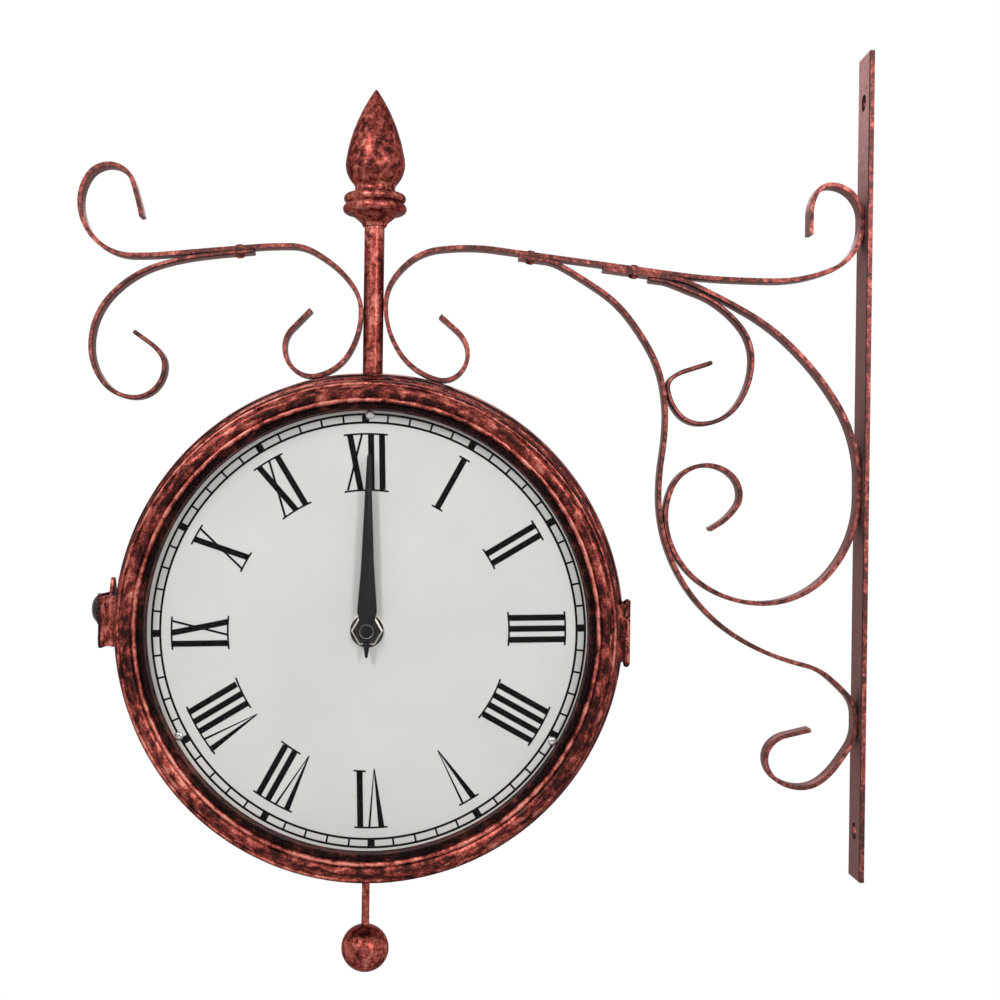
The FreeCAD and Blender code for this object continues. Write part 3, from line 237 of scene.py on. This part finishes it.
# antique copper: near-black patina rubbed back to red copper in patches, mottle and specks
def makeCopper(name, spun=False, bar=False, lift=0.0, busy=1.0, hammer=0.35):
    material, tree, shader, coords = newMaterial(name)
    patchCoords = coords
    if spun:
        radius, depth, patchCoords = roundTheAxis(tree, coords, copper["around"])
    patches = noiseOn(tree, patchCoords, **copper["patch"])
    mottle = noiseOn(tree, patchCoords, **copper["mottle"])
    specks = noiseOn(tree, coords, **copper["speck"])
    mixed = mathOn(tree, "ADD", swingOn(tree, patches, busy * copper["patchWeight"]), 0.5 + lift)
    mixed = mathOn(tree, "ADD", mixed, swingOn(tree, mottle, busy * copper["mottleWeight"]))
    mixed = mathOn(tree, "ADD", mixed, swingOn(tree, specks, busy * copper["speckWeight"]))
    # rings: painted highlight on the ridges and darker grooves, by radius and depth
    if spun:
        mixed = mathOn(tree, "ADD", mixed, liftAlongOn(tree, radius, ringHighlightsAndGrooves["radius"]))
        mixed = mathOn(tree, "ADD", mixed, liftAlongOn(tree, depth, ringHighlightsAndGrooves["depth"]))
    # bars: painted highlight and shade by how far each face points along the depth
    if bar:
        facing = tree.nodes.new("ShaderNodeSeparateXYZ")
        tree.links.new(coords.node.outputs["Normal"], facing.inputs[0])
        across = mathOn(tree, "ABSOLUTE", facing.outputs["Y"])
        mixed = mathOn(tree, "ADD", mixed, liftAlongOn(tree, across, barSheenAndShade["edge"], 1.0))
    color = rampOn(tree, mixed, copper["colors"])
    # flats take the painted sheen colour, the narrow edges the redder copper
    if bar:
        redness = rangeOn(tree, across, 0.0, barSheenAndShade["redOnEdge"], 0.0, barSheenAndShade["flatUpTo"])
        blend = tree.nodes.new("ShaderNodeMix")
        blend.data_type = "RGBA"
        blend.inputs["A"].default_value = barSheenAndShade["flat"]
        tree.links.new(redness, blend.inputs["Factor"])
        tree.links.new(color, blend.inputs["B"])
        color = blend.outputs["Result"]
    tree.links.new(color, shader.inputs["Base Color"])
    shader.inputs["Metallic"].default_value = copper["metal"]
    shader.inputs["Specular Tint"].default_value = copper["edgeTint"]
    shader.inputs["Specular IOR Level"].default_value = copper["specular"]
    gloss = rangeOn(tree, mottle, *copper["roughness"], *copper["roughnessOver"])
    tree.links.new(gloss, shader.inputs["Roughness"])
    dents = bumpOn(tree, cellsOn(tree, coords, **copper["dents"]), hammer, copper["dentDepth"])
    relief = bumpOn(tree, mottle, copper["mottleBump"], copper["mottleDepth"], dents)
    tree.links.new(relief, shader.inputs["Normal"])
    return material


plain = {"detail": 5.0, "darkAt": 0.35, "lightAt": 0.65, "bumpFiner": 4, "bumpDepth": 0.2 * mm}


# one colour with a grain that makes it lighter and darker, duller and shinier
def makePlain(name, color, metallic, roughness, grainScale, grain, bump=0.1, swing=0.12):
    material, tree, shader, coords = newMaterial(name)
    spots = noiseOn(tree, coords, grainScale, plain["detail"])
    dark = tuple(c * (1 - grain) for c in color)
    light = tuple(min(1.0, c * (1 + grain)) for c in color)
    tint = rampOn(tree, spots, [(plain["darkAt"], dark), (plain["lightAt"], light)])
    tree.links.new(tint, shader.inputs["Base Color"])
    shader.inputs["Metallic"].default_value = metallic
    gloss = rangeOn(tree, spots, roughness - swing / 2, roughness + swing / 2)
    tree.links.new(gloss, shader.inputs["Roughness"])
    fine = noiseOn(tree, coords, grainScale * plain["bumpFiner"])
    tree.links.new(bumpOn(tree, fine, bump, plain["bumpDepth"]), shader.inputs["Normal"])
    return material


dialGlass = {"color": (0.985, 0.99, 0.985, 1.0), "ior": 1.15, "cloudScale": 30.0, "roughness": 0.02}


# clear glass that lets lamps and diffuse light straight through to the dial
def makeGlass(name):
    material, tree, shader, coords = newMaterial(name)
    shader.inputs["Base Color"].default_value = dialGlass["color"]
    shader.inputs["Transmission Weight"].default_value = 1.0
    shader.inputs["IOR"].default_value = dialGlass["ior"]
    cloud = noiseOn(tree, coords, dialGlass["cloudScale"])
    tree.links.new(rangeOn(tree, cloud, 0.0, dialGlass["roughness"]), shader.inputs["Roughness"])
    clear = tree.nodes.new("ShaderNodeBsdfTransparent")
    path = tree.nodes.new("ShaderNodeLightPath")
    passing = mathOn(tree, "MAXIMUM", path.outputs["Is Shadow Ray"], path.outputs["Is Diffuse Ray"])
    mix = tree.nodes.new("ShaderNodeMixShader")
    tree.links.new(passing, mix.inputs["Fac"])
    tree.links.new(shader.outputs[0], mix.inputs[1])
    tree.links.new(clear.outputs[0], mix.inputs[2])
    tree.links.new(mix.outputs[0], tree.nodes["Material Output"].inputs["Surface"])
    return material


dialEnamel = {
    "shade": (0.60, 0.61, 0.585),
    "light": (0.65, 0.66, 0.635),
    "shadeAt": 0.3,
    "lightAt": 0.7,
    "cloud": {"scale": 18.0, "detail": 3.0},
    "roughness": (0.32, 0.42),
    "grainScale": 900.0,
    "bump": 0.03,
    "bumpDepth": 0.1 * mm,
}


# off-white enamel with a faint cloudiness
def makeDialWhite(name):
    material, tree, shader, coords = newMaterial(name)
    p = dialEnamel
    cloud = noiseOn(tree, coords, **p["cloud"])
    color = rampOn(tree, cloud, [(p["shadeAt"], p["shade"]), (p["lightAt"], p["light"])])
    tree.links.new(color, shader.inputs["Base Color"])
    tree.links.new(rangeOn(tree, cloud, *p["roughness"]), shader.inputs["Roughness"])
    grain = noiseOn(tree, coords, p["grainScale"])
    tree.links.new(bumpOn(tree, grain, p["bump"], p["bumpDepth"]), shader.inputs["Normal"])
    return material


coilWire = {
    "bands": 900.0,
    "waver": 0.4,
    "shadow": (0.20, 0.06, 0.02),
    "wire": (0.62, 0.24, 0.08),
    "shadowAt": 0.2,
    "wireAt": 0.8,
    "metal": 0.8,
    "roughness": 0.35,
    "bump": 0.4,
    "bumpDepth": 0.1 * mm,
}


# coil wire: fine bands across the bobbin's length
def makeCoil(name):
    material, tree, shader, coords = newMaterial(name)
    p = coilWire
    wave = tree.nodes.new("ShaderNodeTexWave")
    wave.inputs["Scale"].default_value = p["bands"]
    wave.inputs["Distortion"].default_value = p["waver"]
    tree.links.new(coords, wave.inputs["Vector"])
    bands = wave.outputs["Fac"]
    color = rampOn(tree, bands, [(p["shadowAt"], p["shadow"]), (p["wireAt"], p["wire"])])
    tree.links.new(color, shader.inputs["Base Color"])
    shader.inputs["Metallic"].default_value = p["metal"]
    shader.inputs["Roughness"].default_value = p["roughness"]
    tree.links.new(bumpOn(tree, bands, p["bump"], p["bumpDepth"]), shader.inputs["Normal"])
    return material


finishes = {
    "antique_copper": makeCopper("antiqueCopper", lift=0.01),
    "cast_copper": makeCopper("castCopper", lift=0.05, busy=0.75),
    "dark_steel": makePlain("darkSteel", (0.022, 0.012, 0.011), 0.7, 0.36, 300.0, 0.5, 0.3),
    "bright_steel": makePlain("zincSteel", (0.42, 0.42, 0.41), 0.95, 0.30, 250.0, 0.12),
    "clear_glass": makeGlass("dialGlass"),
    "dial_white": makeDialWhite("dialEnamel"),
    "hand_black": makePlain("handBlack", (0.008, 0.008, 0.009), 0.0, 0.34, 200.0, 0.2, 0.05),
    "nut_black": makePlain("nutBlack", (0.030, 0.026, 0.025), 0.9, 0.24, 250.0, 0.2, 0.05,
                           swing=0.06),
    "black_plastic": makePlain("movementPlastic", (0.022, 0.022, 0.024), 0.0, 0.45, 350.0, 0.2,
                               bump=0.2),
    "gear_plastic": makePlain("gearAcetal", (0.72, 0.69, 0.60), 0.0, 0.38, 300.0, 0.06),
    "knob_red": makePlain("knobRed", (0.40, 0.02, 0.015), 0.0, 0.30, 300.0, 0.1),
    "battery_wrap": makePlain("batteryWrap", (0.07, 0.075, 0.085), 0.2, 0.30, 200.0, 0.1),
    "board_green": makePlain("boardGreen", (0.02, 0.13, 0.05), 0.0, 0.35, 300.0, 0.2),
    "coil_copper": makeCoil("coilWire"),
}
# drum and bezels carry painted ridge highlights; bars and plate carry a painted sheen, highlight
# and shade
spunCopper = makeCopper("spunCopper", spun=True, lift=0.01)
barCopper = makeCopper("barCopper", bar=True, lift=0.01, busy=0.75, hammer=0.15)
printBlack = makePlain("dialPrint", (0.003, 0.003, 0.0035), 0.0, 0.6, 300.0, 0.2, 0.05)
rodCopper = makeCopper("rodCopper", lift=0.09, busy=0.7)
latchPatina = makeCopper("latchPatina", lift=-0.07)
# light metal for the bevels of the black nuts and caps, a painted highlight along their edges
nutEdgeHighlight = makePlain("nutEdgeHighlight", (0.62, 0.58, 0.52), 0.9, 0.3, 250.0, 0.1)
for material, level in ((finishes["hand_black"], 0.08), (printBlack, 0.0)):
    material.node_tree.nodes["Principled BSDF"].inputs["Specular IOR Level"].default_value = level

spunNodes = ("drum_shell", "front_bezel", "rear_bezel")
barNodes = ("wall_plate", "upper_left_scroll", "lower_left_scroll", "bracket_arm", "brace_scroll",
            "small_scroll", "large_scroll")
ownFinish = {**dict.fromkeys(spunNodes, spunCopper), **dict.fromkeys(barNodes, barCopper),
             "hanger_rod": rodCopper, "drop_rod": rodCopper,
             "latch_strap": latchPatina, "latch_washer": latchPatina}
for row in frame["record"]["subparts"]:
    mesh = nodes[row["node"]].data
    mesh.materials.clear()
    mesh.materials.append(ownFinish.get(row["node"], finishes[row["material_slot"]]))
# nuts and caps whose rounded edges take that light metal, a painted highlight
highlightEdged = ("front_fixing_nut", "rear_fixing_nut", "front_hand_cap", "rear_hand_cap")
for node in highlightEdged:
    nodes[node].data.materials.append(nutEdgeHighlight)


# strips and plates have rubbed, rounded edges, this many millimetres wide
roundedEdges = {
    **dict.fromkeys(barNodes, 0.75), "strip_rivets": 0.3,
    "case_hinge_leaf": 0.2, "door_hinge_leaf": 0.2, "latch_plate": 0.35, "latch_strap": 0.3,
    "latch_washer": 0.2, "case_hinge_rivets": 0.2, "door_rivets": 0.2,
    "front_fixing_nut": 0.35, "rear_fixing_nut": 0.35, "front_hand_cap": 0.3, "rear_hand_cap": 0.3,
}


edgeRounding = {"weld": 1e-6, "flatUpTo": 0.3, "sharpFrom": 35, "segments": 3}


def roundEdges(node, width):
    piece = nodes[node]
    piece.modifiers.new("merge", "WELD").merge_threshold = edgeRounding["weld"]
    flat = piece.modifiers.new("flatFaces", "DECIMATE")
    flat.decimate_type = "DISSOLVE"
    flat.angle_limit = math.radians(edgeRounding["flatUpTo"])
    bevel = piece.modifiers.new("roundEdges", "BEVEL")
    bevel.width = width * mm
    bevel.segments = edgeRounding["segments"]
    bevel.limit_method = "ANGLE"
    bevel.angle_limit = math.radians(edgeRounding["sharpFrom"])
    bevel.harden_normals = True
    # the bevel faces of these take the light edge metal, a painted highlight
    if node in highlightEdged:
        bevel.material = 1


for node, width in roundedEdges.items():
    roundEdges(node, width)
print("materials done")


# the printed dial, in millimetres and degrees
dialPrint = {
    "turn": -1.5,                                  # the print sits a little askew on its dial
    "shift": 0.6,
    "numeralInner": 64.3,
    "numeralOuter": 90.0,
    "bar": 2.8,
    "hair": 1.05,
    "serif": 0.85,
    "wideLetter": 7.5,
    "letterGap": 2.2,
    "hairFoot": 0.3,                               # thin stroke of X, left of its thick one
    "serifOver": 1.4,
    "apexOver": 1.2,                               # point of V: past the inner line, from its left,
    "apexAt": 4.3,                                 # and its two sides
    "apexLeft": 0.15,
    "apexRight": 0.35,
    "trackInner": 95.2,
    "trackOuter": 99.0,
    "ringLine": 1.05,
    "tick": 0.9,
    "fiveMinuteBlock": 3.3,
    "serifSteps": 12,
    "ringSteps": 240,
    "ink": 0.05,                                   # height of the thick strokes, and shares of it,
    "tickInk": 0.9,                                # so that no two crossing tops coincide
    "hairInk": 0.8,
    "curvedInk": 0.7,
    "base": -0.01,
}
hourTexts = ("XII", "I", "II", "III", "IIII", "V", "VI", "VII", "VIII", "IX", "X", "XI")


# a printed patch is a block of thin ink over four (across, out) corners
def inkPatch(corners, height):
    flat = np.array(corners, float)
    top = np.column_stack([flat, np.full(4, height)])
    base = np.column_stack([flat, np.full(4, dialPrint["base"])])
    faces = [[0, 1, 2, 3], [7, 6, 5, 4], [0, 4, 5, 1], [1, 5, 6, 2], [2, 6, 7, 3], [3, 7, 4, 0]]
    return np.vstack([top, base]), np.array(faces)


def stroke(outLeft, outRight, inLeft, inRight, outer, inner, height):
    corners = [(outLeft, outer), (outRight, outer), (inRight, inner), (inLeft, inner)]
    return inkPatch(corners, height)


# strokes of one numeral, left to right, with its width centred on zero
def numeralStrokes(text):
    p = dialPrint
    inner, outer, ink = p["numeralInner"], p["numeralOuter"], p["ink"]
    bar, hair, thinInk = p["bar"], p["hair"], p["hairInk"] * p["ink"]
    widths = [bar if letter == "I" else p["wideLetter"] for letter in text]
    total = sum(widths) + p["letterGap"] * (len(text) - 1)
    left = -total / 2
    patches, serifStart, serifEnd = [], None, None
    for letter, width in zip(text, widths):
        right = left + width
        if letter == "I":
            patches.append(stroke(left, right, left, right, outer, inner, ink))
        elif letter == "X":
            foot = left - p["hairFoot"]
            patches.append(stroke(left, left + bar, right - bar, right, outer, inner, ink))
            patches.append(stroke(right - hair, right, foot, foot + hair, outer, inner, thinInk))
        else:
            tip, point = left + p["apexAt"], inner - p["apexOver"]
            tipLeft, tipRight = tip - p["apexLeft"], tip + p["apexRight"]
            patches.append(stroke(left, left + bar, tipLeft, tipRight, outer, point, ink))
            patches.append(stroke(right - hair, right, tip, tipRight, outer, point, thinInk))
        if letter != "V":
            serifStart = left if serifStart is None else serifStart
            serifEnd = right
        left = right + p["letterGap"]
    over = p["serifOver"]
    serifs = [(-total / 2 - over, total / 2 + over, outer)]
    if serifStart is not None:
        serifs.append((serifStart - over, serifEnd + over, inner))
    return patches, serifs


# a band of ink between two radii, closed where it goes all the way round
def ringBand(inner, outer, startAngle, endAngle, steps, height):
    angles = np.linspace(startAngle, endAngle, steps + 1)
    closed = math.isclose(endAngle - startAngle, 2 * math.pi)
    if closed:
        angles = angles[:-1]
    radii = np.array([outer, inner, inner, outer])
    lifts = np.array([height, height, dialPrint["base"], dialPrint["base"]])
    across = np.sin(angles)[:, None] * radii[None, :]
    out = np.cos(angles)[:, None] * radii[None, :]
    points = np.stack([across, out, np.broadcast_to(lifts, across.shape)], axis=-1).reshape(-1, 3)
    faces = gridFaces(len(angles), 4, wrapRows=closed, wrapColumns=True)
    if not closed:
        last = (len(angles) - 1) * 4
        faces = np.vstack([faces, [[3, 2, 1, 0], [last, last + 1, last + 2, last + 3]]])
    return points, faces


def turnPatch(patch, angle):
    points, faces = patch
    c, s = math.cos(angle), math.sin(angle)
    turn = np.array([[c, s, 0], [-s, c, 0], [0, 0, 1]])
    return points @ turn.T, faces


def joinPatches(patches):
    counts = np.cumsum([0] + [len(points) for points, _ in patches])
    faces = [f + start for (_, f), start in zip(patches, counts)]
    return np.vstack([points for points, _ in patches]), np.vstack(faces)


# numerals and minute track, each one mesh
def dialPatches():
    p = dialPrint
    curvedInk, tickInk = p["curvedInk"] * p["ink"], p["tickInk"] * p["ink"]
    numerals, track = [], []
    half = p["serif"] / 2
    for hour, text in enumerate(hourTexts):
        angle = math.radians(30 * hour)
        strokes, serifs = numeralStrokes(text)
        numerals += [turnPatch(s, angle) for s in strokes]
        for start, end, radius in serifs:
            sides = radius - half, radius + half
            ends = angle + start / radius, angle + end / radius
            numerals.append(ringBand(*sides, *ends, p["serifSteps"], curvedInk))
    half = p["ringLine"] / 2
    for radius in (p["trackInner"], p["trackOuter"]):
        sides = radius - half, radius + half
        track.append(ringBand(*sides, 0, 2 * math.pi, p["ringSteps"], curvedInk))
    for minute in range(60):
        half = (p["fiveMinuteBlock"] if minute % 5 == 0 else p["tick"]) / 2
        tick = stroke(-half, half, -half, half, p["trackOuter"], p["trackInner"], tickInk)
        track.append(turnPatch(tick, math.radians(6 * minute)))
    shift, turn = np.array([p["shift"], 0.0, 0.0]), math.radians(p["turn"])
    askew = [turnPatch(joinPatches(patches), turn) for patches in (numerals, track)]
    return [(points + shift, faces) for points, faces in askew]


# (across, out, height) in millimetres on the front dial to the part's frame in metres
def onFrontDial(points):
    across, out, height = points.T * mm
    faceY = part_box("front_dial")[0].y
    return np.column_stack([clockX + across, faceY - height, clockZ + out])


def toRear(points):
    centre = np.array([clockX, 0.0, 0.0])
    return (points - centre) * halfTurn + centre


for part, (points, faces) in zip(("numerals", "minute_track"), dialPatches()):
    front = onFrontDial(points)
    addMesh("front_" + part, front, faces, printBlack, doorBody)
    addMesh("rear_" + part, toRear(front), faces, printBlack, rootBody)
print("dial print done")


# the camera stands where the photograph was taken from, a little right of the clock's centre
shot = {
    "position": (-0.2054, -0.800, -0.0278),
    "roll": -0.77,
    "focalPixels": 1688.0,
    "pictureWidth": 1000.0,
    "principal": (430.0, 520.0),
    "sensorWidth": 36.0,
    "clipStart": 0.01,
}


def addCamera():
    data = bpy.data.cameras.new("camera")
    data.sensor_width = shot["sensorWidth"]
    data.lens = shot["focalPixels"] / shot["pictureWidth"] * data.sensor_width
    centre = shot["pictureWidth"] / 2
    data.shift_x = (centre - shot["principal"][0]) / shot["pictureWidth"]
    data.shift_y = (shot["principal"][1] - centre) / shot["pictureWidth"]
    data.clip_start = shot["clipStart"]
    camera = bpy.data.objects.new("camera", data)
    camera.location = shot["position"]
    camera.rotation_euler = (math.pi / 2, math.radians(shot["roll"]), 0)
    bpy.context.scene.collection.objects.link(camera)
    bpy.context.scene.camera = camera


lamps = [
    {"name": "key", "at": (-1.0, -1.3, 0.9), "size": 0.25, "height": 0.8, "power": 13.0},
    {"name": "fill", "at": (0.7, -1.5, 0.5), "size": 0.25, "height": 0.8, "power": 9.5},
    {"name": "front", "at": (-0.2, -2.2, 0.9), "size": 1.2, "height": 1.2, "power": 5.0},
    {"name": "back", "at": (-0.3, 1.4, 0.9), "size": 1.0, "height": 1.0, "power": 12.0},
]


def addLamps():
    target = np.array([clockX, 0.0, clockZ])
    for lamp in lamps:
        data = bpy.data.lights.new(lamp["name"], "AREA")
        data.shape = "RECTANGLE"
        data.size, data.size_y = lamp["size"], lamp["height"]
        data.energy = lamp["power"]
        light = bpy.data.objects.new(lamp["name"], data)
        light.location = lamp["at"]
        away = np.array(lamp["at"]) - target
        flat = math.hypot(away[0], away[1])
        light.rotation_euler = (math.atan2(flat, away[2]), 0, math.atan2(away[0], -away[1]))
        bpy.context.scene.collection.objects.link(light)


skyLevel = {"asLight": 0.38, "asSeen": 1.0}


# 1 where the camera, a mirror or glass sees the sky, 0 where it only lights
def whiteToEyes(tree):
    path = tree.nodes.new("ShaderNodeLightPath")
    seen = mathOn(tree, "MAXIMUM", path.outputs["Is Camera Ray"], path.outputs["Is Glossy Ray"])
    return mathOn(tree, "MAXIMUM", seen, path.outputs["Is Transmission Ray"])


def addWorld():
    world = bpy.data.worlds.new("studio")
    bpy.context.scene.world = world
    world.use_nodes = True
    tree = world.node_tree
    background = tree.nodes["Background"]
    background.inputs["Color"].default_value = (1.0, 1.0, 1.0, 1.0)
    level = rangeOn(tree, whiteToEyes(tree), skyLevel["asLight"], skyLevel["asSeen"])
    tree.links.new(level, background.inputs["Strength"])


floorPaper = {"half": 0.8, "level": -0.55, "color": (0.85, 0.85, 0.85, 1.0), "roughness": 0.9}


def addFloor():
    half, level = floorPaper["half"], floorPaper["level"]
    sides = ((-half, -half), (half, -half), (half, half), (-half, half))
    mesh = bpy.data.meshes.new("floor")
    mesh.from_pydata([(clockX + x, y, level) for x, y in sides], [], [(0, 1, 2, 3)])
    material, _, shader, _ = newMaterial("floorPaper")
    shader.inputs["Base Color"].default_value = floorPaper["color"]
    shader.inputs["Roughness"].default_value = floorPaper["roughness"]
    mesh.materials.append(material)
    floor = bpy.data.objects.new("floor", mesh)
    bpy.context.scene.collection.objects.link(floor)


addCamera()
addLamps()
addWorld()
addFloor()
bpy.context.scene.view_settings.view_transform = "Standard"
print("camera, lamps and floor done")
